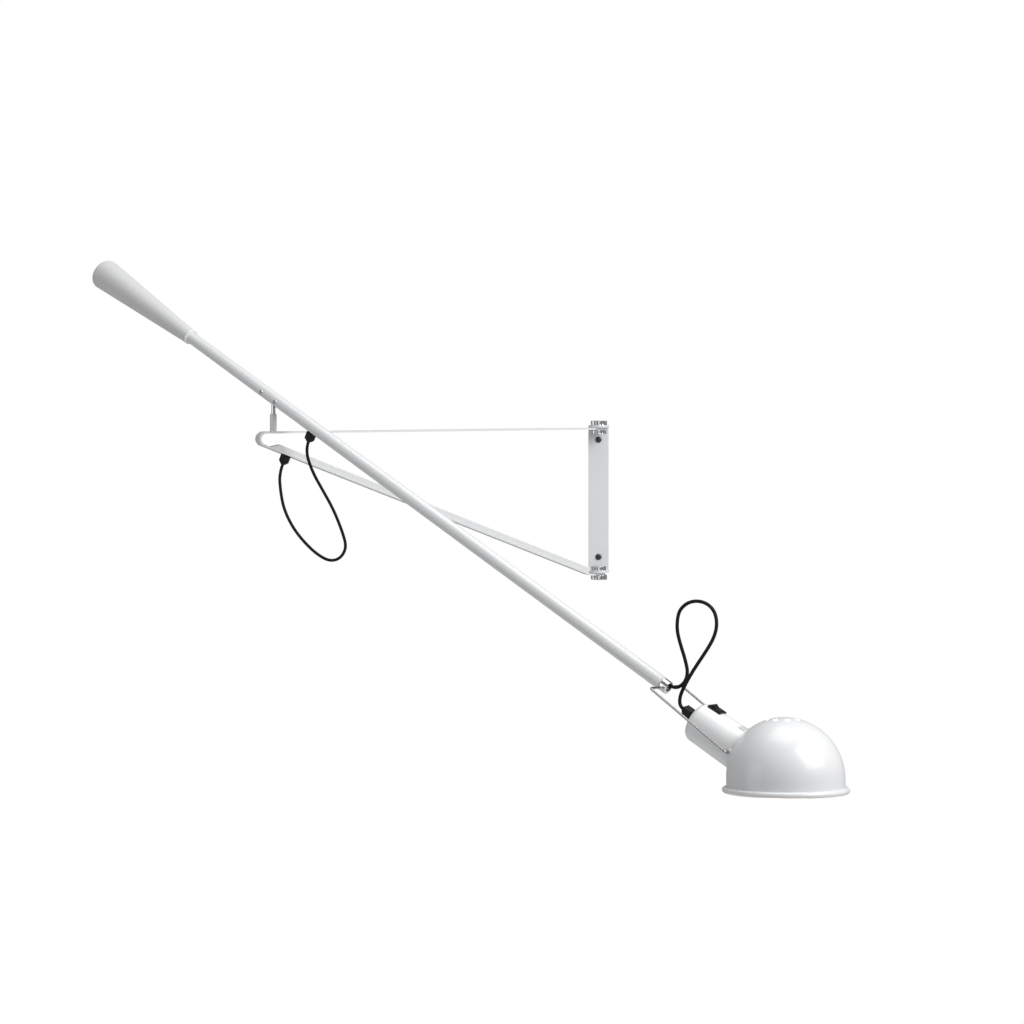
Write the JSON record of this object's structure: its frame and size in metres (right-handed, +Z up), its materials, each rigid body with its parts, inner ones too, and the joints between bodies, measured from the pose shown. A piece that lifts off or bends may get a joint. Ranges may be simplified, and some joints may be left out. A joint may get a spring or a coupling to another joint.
{
  "type": "counterweighted wall lamp",
  "caption": "Wall lamp with a swinging triangular bracket, a counterweighted tilting arm, and a domed head held in a wire fork",
  "frame": {"origin": "centre of the wall plate's back face, on the wall plane", "axes": "+Z up, +Y into the wall, the lamp stands out along -Y"},
  "size_m": [0.9562, 0.7845, 0.6299],
  "materials": {
    "white_paint": "satin white powder coat",
    "white_gloss": "gloss white enamel",
    "weight_paint": "cast iron under matte white paint",
    "chrome": "polished chrome plate",
    "steel": "zinc plated steel",
    "nylon": "natural nylon",
    "black_plastic": "matte black plastic",
    "black_switch": "semi-gloss black plastic",
    "cord_jacket": "matte black cable jacket",
    "holder_plastic": "cream moulded plastic",
    "brass": "nickel-free brass",
    "cap_metal": "plain aluminium",
    "bulb_glass": "frosted lit glass"
  },
  "bodies": {
    "wall_mount": {"wall_plate": "white_paint", "pivot_screw_top": "chrome", "pivot_screw_bottom": "chrome", "pivot_nut_top": "chrome", "pivot_nut_bottom": "chrome", "pivot_washers": "nylon"},
    "bracket": {"bracket_strip": "white_paint", "cable_channel": "white_paint", "channel_lead": "cord_jacket", "bracket_gland": "black_plastic", "bracket_gland_nut": "black_plastic", "swivel_post": "white_paint", "post_screw": "steel", "post_bush": "nylon", "post_grub_screw": "steel", "arm_cord_fall": "cord_jacket"},
    "swivel": {"swivel_stem": "chrome"},
    "arm": {"arm_tube": "white_paint", "arm_saddle": "steel", "tilt_pin": "steel", "saddle_screws": "chrome", "arm_gland": "black_plastic", "arm_lead": "cord_jacket", "counterweight": "weight_paint", "weight_grub_screw": "steel", "end_bush": "nylon", "arm_cord_rise": "cord_jacket"},
    "knuckle": {"knuckle": "chrome", "knuckle_lock_ring": "steel", "knuckle_grub_screw": "steel", "head_cord_rise": "cord_jacket"},
    "fork": {"wire_fork": "chrome"},
    "head": {"lamp_housing": "white_paint", "head_gland": "black_plastic", "head_gland_nut": "black_plastic", "switch_body": "black_switch", "shade": "white_gloss", "shade_ring": "holder_plastic", "lampholder": "holder_plastic", "screw_shell": "brass", "centre_contact": "brass", "bulb_cap": "cap_metal", "bulb_glass": "bulb_glass", "head_cord_fall": "cord_jacket"},
    "switch_key": {"switch_rocker": "black_switch"}
  },
  "joints": [
    {"name": "bracket_swing", "type": "hinge", "parent": "wall_mount", "child": "bracket", "pos_m": [0, -0.0165, 0], "axis": [0, 0, 1], "range_deg": [-22, 148]},
    {"name": "arm_swivel", "type": "hinge", "parent": "bracket", "child": "swivel", "pos_m": [-0.43915, -0.23833, 0.1163], "axis": [0, 0, 1], "range_deg": [-80, 30], "deforming": ["arm_cord_fall", "arm_cord_rise"]},
    {"name": "arm_tilt", "type": "hinge", "parent": "swivel", "child": "arm", "pos_m": [-0.43915, -0.23833, 0.1463], "axis": [0.6184, 0.7859, 0], "range_deg": [-50, 24]},
    {"name": "head_roll", "type": "hinge", "parent": "arm", "child": "knuckle", "pos_m": [0.04758, -0.62135, -0.17338], "axis": [0.6983, -0.5495, -0.4586], "range_deg": [-90, 90]},
    {"name": "fork_tilt", "type": "hinge", "parent": "knuckle", "child": "fork", "pos_m": [0.04733, -0.62123, -0.17391], "axis": [0.5773, 0.8112, -0.0929], "range_deg": [-50, 60], "deforming": ["head_cord_rise", "head_cord_fall"]},
    {"name": "head_tilt", "type": "hinge", "parent": "fork", "child": "head", "pos_m": [0.1238, -0.68245, -0.23319], "axis": [0.5773, 0.8112, -0.0929], "range_deg": [-35, 60]},
    {"name": "switch_rock", "type": "hinge", "parent": "head", "child": "switch_key", "pos_m": [0.09999, -0.66082, -0.19227], "axis": [0.5773, 0.8112, -0.0929], "range_deg": [-22, 0]}
  ]
}
